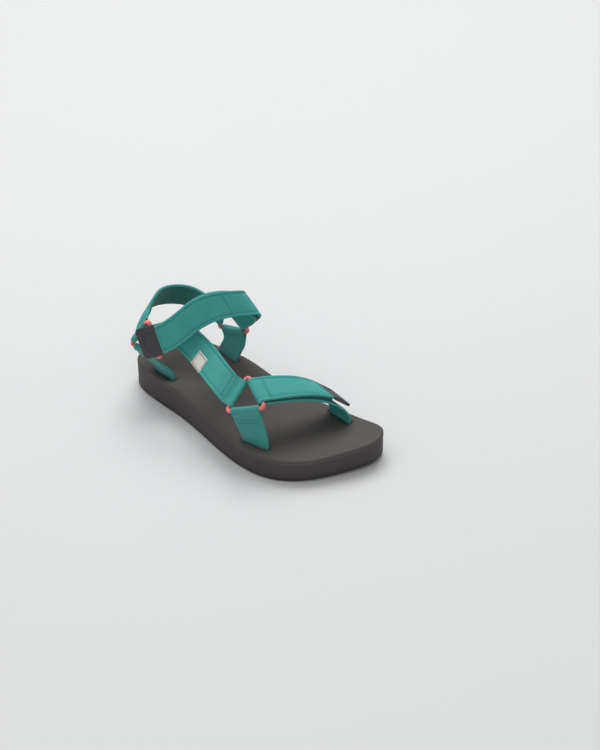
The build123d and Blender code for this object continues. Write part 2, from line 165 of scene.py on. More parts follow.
@dataclass(frozen=True)
class Finish:
    """A material: base colour and gloss, with a pattern that a subclass adds."""

    name: str
    colour: str
    # darker end of each pattern's colour: random tone, and painted shade where the pattern also makes the
    # bump
    shade: str
    roughness: float = 0.6

    def material(self) -> bpy.types.Material:
        """The material, made once."""
        found = bpy.data.materials.get(self.name)
        if found:
            return found
        made = bpy.data.materials.new(self.name)
        made.use_nodes = True
        tree = made.node_tree
        tree.nodes.clear()
        shader = add_node(tree, "ShaderNodeBsdfPrincipled", {"Roughness": self.roughness})
        add_node(tree, "ShaderNodeOutputMaterial", {"Surface": shader.outputs[0]})
        self.dress(tree, shader)
        return made

    def dress(self, tree: bpy.types.NodeTree, shader: bpy.types.Node) -> None:
        """Add the finish's pattern to its shader."""
        raise NotImplementedError

    def place(self, tree: bpy.types.NodeTree, follow: Coordinates) -> bpy.types.NodeSocket:
        """Coordinates in metres that a pattern reads."""
        return add_node(tree, "ShaderNodeTexCoord").outputs[follow.value]

    def noise(self, tree: bpy.types.NodeTree, place: bpy.types.NodeSocket, size_mm: float,
              detail: float = 3.0) -> bpy.types.NodeSocket:
        """Noise whose lumps measure about size_mm."""
        links = {"Vector": place, "Scale": 1.0 / (size_mm * MM), "Detail": detail, "Roughness": 0.55}
        return add_node(tree, "ShaderNodeTexNoise", links).outputs[0]

    def bands(self, tree: bpy.types.NodeTree, place: bpy.types.NodeSocket, pitch_mm: float,
              direction: str) -> bpy.types.NodeSocket:
        """Even ridges pitch_mm apart that count along one direction."""
        links = {"Vector": place, "Scale": math.pi / (10.0 * pitch_mm * MM)}
        node = add_node(tree, "ShaderNodeTexWave", links, wave_type="BANDS", bands_direction=direction)
        return node.outputs["Fac"]

    def maths(self, tree: bpy.types.NodeTree, operation: str, first, second) -> bpy.types.NodeSocket:
        """Result of one sum on two values."""
        return add_node(tree, "ShaderNodeMath", {0: first, 1: second}, operation=operation).outputs[0]

    def blend(self, tree: bpy.types.NodeTree, share, low: str, high: str) -> bpy.types.NodeSocket:
        """Colour between two hex codes, by a share from 0 to 1."""
        node = add_node(tree, "ShaderNodeMix", {0: share, 6: paint(low), 7: paint(high)}, data_type="RGBA")
        return node.outputs[2]

    def relief(self, tree: bpy.types.NodeTree, shader: bpy.types.Node, height: bpy.types.NodeSocket,
               depth_mm: float) -> None:
        """Bump of a given depth from a height."""
        links = {"Height": height, "Distance": depth_mm * MM, "Strength": 1.0}
        bump = add_node(tree, "ShaderNodeBump", links)
        tree.links.new(bump.outputs[0], shader.inputs["Normal"])


@dataclass(frozen=True)
class KnitFinish(Finish):
    """Knitted polyester: rows of stitches with painted shade in their valleys, a soft nap that lifts grazing
    light, a little heather.
    """

    pitch_mm: float = 1.0
    depth_mm: float = 0.16
    nap: float = 0.35

    def dress(self, tree: bpy.types.NodeTree, shader: bpy.types.Node) -> None:
        """Add knit rows with painted shade in their valleys, heather and nap."""
        cloth = self.place(tree, Coordinates.CLOTH)
        wales = self.bands(tree, cloth, self.pitch_mm, "X")
        courses = self.bands(tree, cloth, self.pitch_mm * 0.8, "Y")
        knit = self.maths(tree, "MULTIPLY", wales, courses)
        body = self.place(tree, Coordinates.BODY)
        fuzz = self.noise(tree, body, 0.7)
        cloud = self.noise(tree, body, 16.0)
        height = self.maths(tree, "ADD", knit, self.maths(tree, "MULTIPLY", fuzz, 0.8))
        heather = self.maths(tree, "MULTIPLY", fuzz, 0.55)
        # the knit rows also darken the colour where their bump is low: painted shade, mixed with random
        # heather and cloud tone
        tone_and_painted_shade = self.maths(tree, "ADD", self.maths(tree, "MULTIPLY", knit, 0.35), heather)
        tone_and_painted_shade = self.maths(tree, "ADD", tone_and_painted_shade, self.maths(tree, "MULTIPLY", cloud, 0.45))
        tree.links.new(self.blend(tree, tone_and_painted_shade, self.shade, self.colour), shader.inputs["Base Color"])
        shader.inputs["Sheen Weight"].default_value = self.nap
        shader.inputs["Sheen Roughness"].default_value = 0.45
        shader.inputs["Sheen Tint"].default_value = paint(self.colour)
        self.relief(tree, shader, height, self.depth_mm)


@dataclass(frozen=True)
class RibFinish(Finish):
    """Woven tape: ribs that run one way, crossed by finer yarns, with painted shade in the valleys between
    them.
    """

    pitch_mm: float = 1.6
    direction: str = "Y"
    depth_mm: float = 0.2
    nap: float = 0.2

    def dress(self, tree: bpy.types.NodeTree, shader: bpy.types.Node) -> None:
        """Add ribs and yarns, with painted shade in their valleys."""
        cloth = self.place(tree, Coordinates.CLOTH)
        ribs = self.bands(tree, cloth, self.pitch_mm, self.direction)
        across = "X" if self.direction == "Y" else "Y"
        yarns = self.bands(tree, cloth, self.pitch_mm * 0.45, across)
        fuzz = self.noise(tree, self.place(tree, Coordinates.BODY), 1.1)
        weave = self.maths(tree, "ADD", ribs, self.maths(tree, "MULTIPLY", yarns, 0.35))
        # the weave that makes the bump also darkens the colour in its valleys: painted shade, mixed with
        # random fuzz tone
        tone_and_painted_shade = self.maths(tree, "ADD", self.maths(tree, "MULTIPLY", weave, 0.4),
                          self.maths(tree, "MULTIPLY", fuzz, 0.6))
        tree.links.new(self.blend(tree, tone_and_painted_shade, self.shade, self.colour), shader.inputs["Base Color"])
        shader.inputs["Sheen Weight"].default_value = self.nap
        shader.inputs["Sheen Roughness"].default_value = 0.5
        self.relief(tree, shader, weave, self.depth_mm)


@dataclass(frozen=True)
class HookFinish(Finish):
    """Hook tape: rows of tiny moulded hooks that read as a fine dotted nap, with painted shade between the
    hooks.
    """

    pitch_mm: float = 1.2

    def dress(self, tree: bpy.types.NodeTree, shader: bpy.types.Node) -> None:
        """Add the rows of hooks, with painted shade between them."""
        cloth = self.place(tree, Coordinates.CLOTH)
        dots = self.maths(tree, "MULTIPLY", self.bands(tree, cloth, self.pitch_mm, "X"),
                          self.bands(tree, cloth, self.pitch_mm, "Y"))
        # the colour follows the hooks' bump, darker between them: painted shade
        tree.links.new(self.blend(tree, dots, self.shade, self.colour), shader.inputs["Base Color"])
        self.relief(tree, shader, dots, 0.5)


@dataclass(frozen=True)
class FoamFinish(Finish):
    """Moulded foam or rubber: a closed skin with fine grain, painted darker in its pits as painted shade, and
    faint cloudiness from the mould.
    """

    grain_mm: float = 0.9
    depth_mm: float = 0.1
    cloud_mm: float = 30.0
    sheen: float = 0.0

    def dress(self, tree: bpy.types.NodeTree, shader: bpy.types.Node) -> None:
        """Add grain, with painted shade in its pits, and clouds."""
        body = self.place(tree, Coordinates.BODY)
        grain = self.noise(tree, body, self.grain_mm, 4.0)
        cloud = self.noise(tree, body, self.cloud_mm, 2.0)
        # the grain that makes the bump also darkens the colour in its pits: painted shade, mixed with random
        # cloud tone
        tone_and_painted_shade = self.maths(tree, "ADD", self.maths(tree, "MULTIPLY", grain, 0.45),
                          self.maths(tree, "MULTIPLY", cloud, 0.55))
        tree.links.new(self.blend(tree, tone_and_painted_shade, self.shade, self.colour), shader.inputs["Base Color"])
        rough = self.maths(tree, "ADD", self.maths(tree, "MULTIPLY", grain, 0.2), self.roughness - 0.1)
        tree.links.new(rough, shader.inputs["Roughness"])
        shader.inputs["Sheen Weight"].default_value = self.sheen
        self.relief(tree, shader, grain, self.depth_mm)


@dataclass(frozen=True)
class ResinFinish(Finish):
    """Moulded resin: smooth and slightly cloudy, with light that soaks in a little."""

    soak: float = 0.25

    def dress(self, tree: bpy.types.NodeTree, shader: bpy.types.Node) -> None:
        """Add cloudiness and soak."""
        body = self.place(tree, Coordinates.BODY)
        cloud = self.noise(tree, body, 6.0)
        tree.links.new(self.blend(tree, cloud, self.shade, self.colour), shader.inputs["Base Color"])
        shader.inputs["Subsurface Weight"].default_value = self.soak
        shader.inputs["Subsurface Radius"].default_value = (0.004, 0.0015, 0.001)
        shader.inputs["Subsurface Scale"].default_value = 0.5
        self.relief(tree, shader, self.noise(tree, body, 1.5), 0.03)


@dataclass(frozen=True)
class PlainFinish(Finish):
    """Painted studio floor: one even, dull colour with a trace of unevenness."""

    def dress(self, tree: bpy.types.NodeTree, shader: bpy.types.Node) -> None:
        """Add the trace of unevenness."""
        cloud = self.noise(tree, self.place(tree, Coordinates.BODY), 400.0)
        tree.links.new(self.blend(tree, cloud, self.shade, self.colour), shader.inputs["Base Color"])


# Name, colour, darker colour and roughness of each finish; in the knit, rib, hook and foam finishes the
# darker colour also paints shade into the low parts of the bump pattern.
KNIT = KnitFinish("covered_webbing_teal_jersey", "4db0a7", "2b8a83", 0.85)
ANCHOR = RibFinish("anchor_webbing_teal_polyester", "45a79f", "22756f", 0.8)
LINING = RibFinish("heel_lining_dark_green_rib", "2f857d", "1c5f58", 0.85, pitch_mm=2.2, direction="Y")
HOOKS = HookFinish("hook_tape_dark_green_nylon", "4f7a76", "2c4a48", 0.6)
LOOPS = KnitFinish("loop_tape_dark_green_brushed", "2a6660", "164541", 0.9, pitch_mm=0.8, nap=0.6)
THREAD = RibFinish("bonded_thread_dark_teal", "1f7570", "0c4440", 0.55, pitch_mm=0.4, depth_mm=0.05)
RESIN = ResinFinish("ring_moulded_coral_resin", "f78d88", "ec7471", 0.38)
TAB = FoamFinish("pull_tab_moulded_rubber", "48464a", "2f2d31", 0.48, grain_mm=0.6, depth_mm=0.04)
FOOTBED = FoamFinish("footbed_moulded_foam", "575251", "403c3b", 0.72, depth_mm=0.16)
MIDSOLE = FoamFinish("midsole_moulded_foam", "474242", "332f30", 0.62, grain_mm=0.7)
OUTSOLE = FoamFinish("outsole_moulded_rubber", "383434", "262323", 0.6, grain_mm=0.7)
SHANK = FoamFinish("shank_moulded_nylon", "2a2829", "1b1a1a", 0.5)
LABEL = RibFinish("label_woven_satin_off_white", "efebe3", "cfc9be", 0.6, pitch_mm=0.7, depth_mm=0.06)
LABEL_EDGE = RibFinish("label_woven_border_grey", "a9a59e", "827e78", 0.6, pitch_mm=0.7, depth_mm=0.06)
FLOOR = PlainFinish("studio_floor_painted_pale", "dedede", "dbdbdb", 0.9)


# ---------------------------------------------------------------- routes and rings
class Route:
    """Line that a strap follows, with the strap's frame at each point of it."""

    samples = 400

    def __init__(self, points: Sequence[Vector], leave: Vector, arrive: Vector,
                 across: Vector, across_end: Vector) -> None:
        """Work out the line and its frames.

        Args:
            points: points that the strap's middle goes through, from its start.
            leave: direction at the start.
            arrive: direction at the end.
            across: direction of the strap's width at the start.
            across_end: the same at the end.
        """
        knots = np.array([list(p) for p in points])
        times = np.concatenate([[0.0], np.cumsum(np.linalg.norm(np.diff(knots, axis=0), axis=1))])
        ends = [unit(np.array(list(v))) for v in (leave, arrive)]
        slopes = smooth_slopes(knots, times, *ends)
        dense = hermite(knots, times, slopes, np.linspace(0.0, times[-1], 4 * self.samples))
        run = np.concatenate([[0.0], np.cumsum(np.linalg.norm(np.diff(dense, axis=0), axis=1))])
        self.length = float(run[-1])
        even = np.linspace(0.0, self.length, self.samples)
        self.line = np.stack([np.interp(even, run, dense[:, k]) for k in range(3)], axis=1)
        share = ease(np.linspace(0.0, 1.0, self.samples), 0.0, 1.0)[:, None]
        start, end = (unit(np.array(list(v))) for v in (across, across_end))
        self.across = unit(start * (1.0 - share) + end * share)
        ahead = unit(np.gradient(self.line, axis=0))
        ahead = ahead - self.across * np.sum(ahead * self.across, axis=1, keepdims=True)
        self.ahead = unit(ahead)
        self.face = np.cross(self.ahead, self.across)

    def bend(self, flat: np.ndarray) -> np.ndarray:
        """Places of points given as across, along and out of the strap's face."""
        along = np.clip(flat[:, 1], 0.0, self.length)
        at = along / self.length * (self.samples - 1)
        k = np.minimum(at.astype(int), self.samples - 2)
        part = (at - k)[:, None]
        origin, across, ahead, face = (
            track[k] * (1.0 - part) + track[k + 1] * part
            for track in (self.line, self.across, self.ahead, self.face)
        )
        over = (flat[:, 1] - along)[:, None]
        return origin + across * flat[:, 0:1] + face * flat[:, 2:3] + ahead * over

    def point(self, across: float, along: float, out: float) -> Vector:
        """Place of one point."""
        return Vector(self.bend(np.array([[across, along, out]]))[0])


@dataclass(frozen=True)
class Bar:
    """One straight bar of a ring: its middle, its direction and the way out of the triangle."""

    middle: Vector
    along: Vector
    out: Vector

    def toward(self, point: Vector) -> Vector:
        """Direction square to the bar in which a strap leaves it for a point."""
        way = point - self.middle
        return (way - self.along * way.dot(self.along)).normalized()

    def aimed(self, leave: Vector, point: Vector) -> Vector:
        """Direction in the strap's own plane, slanted towards a point."""
        way = point - self.middle
        return (leave * way.dot(leave) + self.along * way.dot(self.along)).normalized()


@dataclass
class Ring:
    """Triangular ring bent from round rod."""

    name: str
    node: str
    centre: Vector
    along: Vector
    face: Vector
    side: float = 37.0 * MM
    rod: float = 3.6 * MM
    corner: float = 3.0 * MM
    swell: float = 1.4             # how much deeper the rod is at its corners
    push: float = 0.5 * MM         # how far they stand out
    lower, front, rear = 0.0, 120.0, 240.0

    def bar(self, turn: float) -> Bar:
        """The bar at a turn from the lower one, in degrees."""
        spin = Matrix.Rotation(math.radians(turn), 3, self.face)
        out = spin @ (self.along.cross(self.face))
        return Bar(self.centre + out * self.side / (2.0 * math.sqrt(3.0)), spin @ self.along, out)

    def build(self) -> bpy.types.Object:
        """Bend the rod, corner by corner, and weld its ends.

        Returns:
            The ring.
        """
        mesh = bmesh.new()
        to_centre = self.side / (2.0 * math.sqrt(3.0))
        straight = self.side - 2.0 * self.corner / math.tan(math.radians(30.0))
        upright = Matrix.Rotation(math.pi / 2.0, 4, "Y")
        start = Matrix.Translation((-straight / 2.0, -to_centre, 0.0)) @ upright
        bmesh.ops.create_circle(mesh, cap_ends=False, segments=20, radius=self.rod / 2.0, matrix=start)
        rim: list = mesh.edges[:]
        turn = Matrix.Rotation(math.radians(120.0), 4, "Z")
        placed = Matrix.Identity(4)
        for _ in range(3):
            ahead = placed.to_3x3() @ Vector((1.0, 0.0, 0.0))
            for _ in range(8):
                grown = bmesh.ops.extrude_edge_only(mesh, edges=rim)["geom"]
                rim = made(grown, bmesh.types.BMEdge)
                moved = made(grown, bmesh.types.BMVert)
                bmesh.ops.translate(mesh, verts=moved, vec=ahead * straight / 8.0)
            centre = placed @ Vector((straight / 2.0, self.corner - to_centre, 0.0))
            ring = {v for e in rim for v in e.verts}
            last = bmesh.ops.spin(mesh, geom=rim + list(ring), cent=centre, axis=(0, 0, 1), dvec=(0, 0, 0),
                                  angle=math.radians(120.0), steps=10, use_duplicate=False)["geom_last"]
            rim = made(last, bmesh.types.BMEdge)
            placed = turn @ placed
        bmesh.ops.remove_doubles(mesh, verts=mesh.verts[:], dist=0.01 * MM)
        reach = self.side / math.sqrt(3.0) - self.corner
        for vert in mesh.verts:
            angle = math.atan2(vert.co.y, vert.co.x)
            outside = vert.co.to_2d().length > 0.6 * reach
            near = max(0.0, math.cos(3.0 * (angle - math.pi / 2.0))) ** 6 * outside
            vert.co.z *= 1.0 + (self.swell - 1.0) * near
            vert.co += Vector((vert.co.x, vert.co.y, 0.0)).normalized() * near * self.push
        bmesh.ops.recalc_face_normals(mesh, faces=mesh.faces[:])
        up = self.face.cross(self.along)
        turned = Matrix((self.along, up, self.face)).transposed().to_4x4()
        mesh.transform(Matrix.Translation(self.centre) @ turned)
        return place_on(finished(self.name, mesh, [RESIN]), "root", "ring_resin", self.node)


# ---------------------------------------------------------------- flat sewing
def finished(name: str, mesh: bmesh.types.BMesh, finishes: Sequence[Finish]) -> bpy.types.Object:
    """Turn a bmesh into a smooth-shaded object with its finishes.

    Args:
        name: the object's name.
        mesh: the mesh, which is freed.
        finishes: one finish for each material number in the mesh.

    Returns:
        The object, linked to the scene.
    """
    for face in mesh.faces:
        face.smooth = True
    data = bpy.data.meshes.new(name)
    mesh.to_mesh(data)
    mesh.free()
    for finish in finishes:
        data.materials.append(finish.material())
    piece = bpy.data.objects.new(name, data)
    bpy.context.scene.collection.objects.link(piece)
    return piece


def place_on(piece: bpy.types.Object, body: str, slot: str, *nodes: str) -> bpy.types.Object:
    """Put a piece on its body, in place of its nodes."""
    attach(piece, body)
    if nodes:
        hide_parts(*nodes)
    LOG.info("%s: %d faces", piece.name, len(piece.data.polygons))
    return piece


@dataclass(frozen=True)
class Section:
    """Cross-section of a strap: sizes in metres."""

    width: float = 26.0 * MM
    thickness: float = 1.9 * MM
    edge: float = 0.75 * MM
    hem: float = 2.9 * MM          # from the edge to the line of stitches
    roll: float = 0.30 * MM        # how far the hem stands up
    pinch: float = 0.42 * MM       # how deep the stitches pull in
    crown: float = 0.25 * MM       # how far the middle is padded

    def relief(self, across: np.ndarray) -> np.ndarray:
        """How far the face stands above its flat height at a place across the strap."""
        inward = self.width / 2.0 - np.abs(across)
        rolled = self.roll * np.exp(-((inward - 1.3 * MM) / (1.0 * MM)) ** 2)
        pinched = -self.pinch * np.exp(-((inward - self.hem) / (0.55 * MM)) ** 2)
        padded = self.crown * ease(inward, self.hem, self.hem + 3.0 * MM)
        return rolled + pinched + padded


PADDED = Section()
PLAIN = Section(thickness=1.2 * MM, edge=0.4 * MM, roll=0.1 * MM, pinch=0.05 * MM, crown=0.0)
TAPE = Section(width=25.0 * MM, thickness=1.6 * MM, edge=0.35 * MM, roll=0.0, pinch=0.0, crown=0.0)


class FlatStrip:
    """Strip sewn flat, from start to stop along its route, with its lower face at a height."""

    def __init__(self, section: Section, start: float, stop: float, low: float) -> None:
        """Cut the strip, give it its thickness and round its edges.

        Args:
            section: its cross-section.
            start: where it starts along the route.
            stop: where it stops.
            low: height of its lower face above the route.
        """
        self.section, self.start, self.stop, self.low = section, start, stop, low
        self.mesh = bmesh.new()
        half = section.width / 2.0
        lines = sorted({0.0, *(s * v * MM for s in (-1, 1) for v in (3.0, 6.0))}
                       | {s * (half - v * MM) for s in (-1, 1)
                          for v in (0.0, 0.9, 1.5, 2.1, 2.5, 2.9, 3.3, 3.8, 5.0)})
        rows = max(4, int((stop - start) / (1.1 * MM)))
        bmesh.ops.create_grid(self.mesh, x_segments=len(lines) - 1, y_segments=rows, size=0.5)
        for vert in self.mesh.verts:
            column = round((vert.co.x + 0.5) * (len(lines) - 1))
            vert.co.x = lines[column]
            vert.co.y = start + (vert.co.y + 0.5) * (stop - start)
        bmesh.ops.solidify(self.mesh, geom=self.mesh.faces[:], thickness=section.thickness)
        bmesh.ops.recalc_face_normals(self.mesh, faces=self.mesh.faces[:])
        base = min(v.co.z for v in self.mesh.verts)
        bmesh.ops.translate(self.mesh, verts=self.mesh.verts[:], vec=(0.0, 0.0, low - base))
        rims = [e for e in self.mesh.edges if len(e.link_faces) == 2 and e.calc_face_angle(0.0) > 1.0]
        bmesh.ops.bevel(self.mesh, geom=rims, offset=section.edge, offset_type="OFFSET", segments=3,
                        profile=0.5, affect="EDGES", material=-1, clamp_overlap=True)
        weave = self.mesh.loops.layers.uv.new("weave")
        for face in self.mesh.faces:
            for loop in face.loops:
                loop[weave].uv = (loop.vert.co.x, loop.vert.co.y)
        for vert in self.mesh.verts:
            height = (vert.co.z - low) / section.thickness
            vert.co.z += height * float(section.relief(np.array(vert.co.x)))

    def bent(self, name: str, route: Route, finish: Finish,
             shape: Optional[Callable[[np.ndarray], np.ndarray]] = None) -> bpy.types.Object:
        """Bend the strip along a route.

        Args:
            name: the object's name.
            route: the route.
            finish: the strip's finish.
            shape: changes the flat points first, as for a loop round a bar.

        Returns:
            The object.
        """
        return bent(name, self.mesh, route, [finish], shape)


def bent(name: str, mesh: bmesh.types.BMesh, route: Route, finishes: Sequence[Finish],
         shape: Optional[Callable[[np.ndarray], np.ndarray]] = None) -> bpy.types.Object:
    """Bend a flat mesh along a route and make it an object."""
    flat = np.array([list(v.co) for v in mesh.verts])
    if shape is not None:
        flat = shape(flat)
    for vert, place in zip(mesh.verts, route.bend(flat)):
        vert.co = place
    bmesh.ops.recalc_face_normals(mesh, faces=mesh.faces[:])
    return finished(name, mesh, finishes)


@dataclass
class Seam:
    """Lines of stitches, laid on a flat strap before it is bent."""

    section: Section
    top: float
    pitch: float = 3.1 * MM
    stitch: float = 2.3 * MM
    thread: float = 0.62 * MM
    mesh: bmesh.types.BMesh = field(default_factory=bmesh.new)

    def line(self, start: tuple[float, float], stop: tuple[float, float]) -> None:
        """Sew from one flat point to another."""
        first, last = Vector((*start, 0.0)), Vector((*stop, 0.0))
        way = last - first
        count = max(1, round(way.length / self.pitch))
        turn = Matrix.Rotation(math.atan2(way.y, way.x), 4, "Z")
        for k in range(count):
            at = first.lerp(last, (k + 0.5) / count)
            height = self.top + float(self.section.relief(np.array(at.x))) + 0.05 * MM
            size = Matrix.Diagonal((self.stitch / 2.0, self.thread / 2.0, self.thread / 2.4, 1.0))
            place = Matrix.Translation((at.x, at.y, height)) @ turn @ size
            bmesh.ops.create_uvsphere(self.mesh, u_segments=8, v_segments=5, radius=1.0, matrix=place)

    def border(self, start: float, stop: float, ends: Sequence[float] = ()) -> None:
        """Sew along both hems, and across at the given places."""
        edge = self.section.width / 2.0 - self.section.hem
        for side in (-edge, edge):
            self.line((side, start), (side, stop))
        for end in ends:
            self.line((-edge, end), (edge, end))

    def bent(self, name: str, route: Route,
             shape: Optional[Callable[[np.ndarray], np.ndarray]] = None) -> bpy.types.Object:
        """Bend the stitches along with their strap."""
        weave = self.mesh.loops.layers.uv.new("weave")
        for face in self.mesh.faces:
            for loop in face.loops:
                loop[weave].uv = (loop.vert.co.x, loop.vert.co.y)
        return bent(name, self.mesh, route, [THREAD], shape)


@dataclass(frozen=True)
class Wrap:
    """Shape of a strip that comes in under a bar, turns round it and goes back on top."""

    radius: float                 # of the strip's middle round the bar
    rest: float                   # height of its middle away from the bar
    taper: float                  # length over which it closes in on the bar
    inner: float                  # length of the lower leg

    @property
    def turn(self) -> float:
        """Length of the half turn."""
        return math.pi * self.radius

    def shape(self, flat: np.ndarray) -> np.ndarray:
        """Bend flat points, whose y starts at 0 at the end of the lower leg."""
        run = flat[:, 1]
        out = flat.copy()
        for low, high, kind in ((-1.0, self.inner, "lower"), (self.inner, self.inner + self.turn, "turn"),
                                (self.inner + self.turn, 10.0, "upper")):
            picked = (run >= low) & (run < high)
            part, thick = run[picked], flat[picked, 2]
            if kind == "turn":
                angle = (part - self.inner) / self.radius
                reach = self.radius + thick
                out[picked, 1] = -reach * np.sin(angle)
                out[picked, 2] = -reach * np.cos(angle)
                continue
            along = self.inner - part if kind == "lower" else part - self.inner - self.turn
            level = self.radius + (self.rest - self.radius) * ease(along, 0.0, self.taper)
            out[picked, 1] = along
            out[picked, 2] = (level + thick) * (-1.0 if kind == "lower" else 1.0)
        return out


@dataclass
class Straps:
    """All rings, straps, tapes and tabs, with their shared sizes."""

    grip: float = 1.9 * MM         # from a bar's middle to a strap round it
    ply: float = 1.2 * MM
    loop: float = 11.0 * MM
    tab_length: float = 19.0 * MM
    tab_width: float = 28.4 * MM
    tab_thickness: float = 2.4 * MM
    tab_sink: float = 0.3 * MM     # below the flap's inner face
    tab_droop: float = 0.25        # it points the way its strap points this share further on
    tab_cut: float = 4.2 * MM      # off each far corner
    rib_edge: float = 4.6 * MM     # from the tab's side to its raised rib
    tape_start: float = 10.0 * MM
    gap: float = 0.3 * MM

    def __post_init__(self) -> None:
        """Place the rings."""
        tilt, lean = math.radians(14.0), math.tan(math.radians(8.0))
        self.lateral = self.ankle_ring("ankle_ring_outer", "ankle_ring_lateral",
                                       millimetres(-91.8, -26.0, 65.2), 0.0, lean)
        self.medial = self.ankle_ring("ankle_ring_inner", "ankle_ring_medial",
                                      millimetres(-51.7, 42.0, 68.8), tilt, -lean)
        out = Vector((-0.011, -0.592, 0.806)).normalized()
        along = Vector((0.873, 0.387, 0.296))
        along = (along - out * along.dot(out)).normalized()
        self.toe = Ring("toe_ring_coral", "toe_ring", millimetres(30.1, -32.9, 62.5), along, out)

    def ankle_ring(self, name: str, node: str, centre: Vector, tilt: float, lean: float) -> Ring:
        """Ring beside the ankle: tilted lower bar, top leaning over the foot."""
        along = Vector((math.cos(tilt), 0.0, math.sin(tilt)))
        up = Vector((-math.sin(tilt), lean, math.cos(tilt)))
        return Ring(name, node, centre, along, along.cross(up).normalized())

    def join(self, piece: bpy.types.Object, body: str, start: Vector, end: Vector, slot: str,
             *nodes: str) -> bpy.types.Object:
        """Bake a piece's placement into its mesh and hide its nodes."""
        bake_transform(piece)
        if nodes:
            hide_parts(*nodes)
        LOG.info("%s: bends with %s", piece.name, body)
        return piece

    # ---- anchors
    def anchor(self, name: str, node: str, ring: Ring, mouth: Vector, along: Vector, rows: int) -> None:
        """Doubled webbing from a ring's lower bar into the footbed.

        Args:
            name: the piece's name.
            node: the CAD node that it stands for.
            ring: the ring that it holds.
            mouth: where it goes into the footbed.
            along: direction of the slot.
            rows: rows of stitches below the ring.
        """
        bar = ring.bar(Ring.lower)
        leave = bar.toward(mouth)
        start = bar.middle + leave * self.loop
        inside = mouth - FACE_UP * 6.0 * MM
        route = Route([bar.middle, start, mouth, inside], leave, -FACE_UP, bar.along, along)
        stop = route.length
        wrap = Wrap(self.grip + self.ply / 2.0, self.ply / 2.0, self.loop - 3.0 * MM, stop)
        strip = FlatStrip(PLAIN, 0.0, 2.0 * stop + wrap.turn, -self.ply / 2.0)
        place_on(strip.bent(name, route, ANCHOR, wrap.shape), "root", "webbing", node)
        outward = 1.0 if Vector(route.face[0]).dot(bar.middle - frame_middle()) > 0 else -1.0
        seam = Seam(PLAIN, self.ply)
        edge = PLAIN.width / 2.0 - 1.6 * MM
        for row in range(rows):
            at = self.loop - 1.0 * MM + row * 2.6 * MM
            seam.line((-edge, at), (edge, at))
        flip = (lambda flat: flat * np.array([1.0, 1.0, outward]))
        place_on(seam.bent(name + "_stitching", route, flip), "root", "webbing")

    def build_anchors(self) -> None:
        """All three anchors, each with the height at which it goes into the footbed."""
        for name, node, ring, slot, height, rows in (
            ("toe_anchor_webbing", "toe_anchor", self.toe, TOE_SLOT, 26.9, 2),
            ("ankle_anchor_outer_webbing", "ankle_anchor_lateral", self.lateral, OUTER_SLOT, 30.0, 1),
            ("ankle_anchor_inner_webbing", "ankle_anchor_medial", self.medial, INNER_SLOT, 35.0, 1),
        ):
            place, along = slot
            self.anchor(name, node, ring, millimetres(*place, height), along, rows)

    # ---- flaps
    def pull_tab(self, name: str, node: str, body: str, strap: Route, start: float) -> None:
        """Stiff moulded pull tab with cut corners and a raised, U-shaped rib.

        Args:
            name: the piece's name.
            node: the CAD node that it stands for.
            body: the body that it moves with.
            strap: the strap's route.
            start: where it starts along the strap.
        """
        length, low = self.tab_length, self.grip - self.tab_sink
        at, step = start + self.tab_droop * length, 0.5 * MM
        ahead = (strap.point(0, at + step, 0) - strap.point(0, at - step, 0)).normalized()
        across = (strap.point(step, at, 0) - strap.point(0, at, 0)).normalized()
        origin = strap.point(0, start, 0)
        route = Route([origin, origin + ahead * length], ahead, ahead, across, across)
        mesh = bmesh.new()
        size = Matrix.Diagonal((self.tab_width, length, 1.0, 1.0))
        place = Matrix.Translation((0.0, length / 2.0, low)) @ size
        bmesh.ops.create_grid(mesh, x_segments=1, y_segments=1, size=0.5, matrix=place)
        far = [v for v in mesh.verts if v.co.y > length - MM]
        bmesh.ops.bevel(mesh, geom=far, offset=self.tab_cut, offset_type="OFFSET", segments=5, profile=0.5,
                        affect="VERTICES", material=-1)
        plate = bmesh.ops.extrude_face_region(mesh, geom=mesh.faces[:])["geom"]
        upper = made(plate, bmesh.types.BMVert)
        bmesh.ops.translate(mesh, vec=(0.0, 0.0, self.tab_thickness), verts=upper)
        bmesh.ops.recalc_face_normals(mesh, faces=mesh.faces[:])
        sharp = [e for e in mesh.edges if len(e.link_faces) == 2 and e.calc_face_angle(0.0) > 0.7]
        bmesh.ops.bevel(mesh, geom=sharp, offset=0.6 * MM, offset_type="OFFSET", segments=3, profile=0.5,
                        affect="EDGES", material=-1, clamp_overlap=True)
        self.tab_rib(mesh, self.tab_width / 2.0 - self.rib_edge, 3.0 * MM, length - 4.4 * MM,
                     low + self.tab_thickness)
        place_on(bent(name, mesh, route, [TAB]), body, "tab_rubber", node)

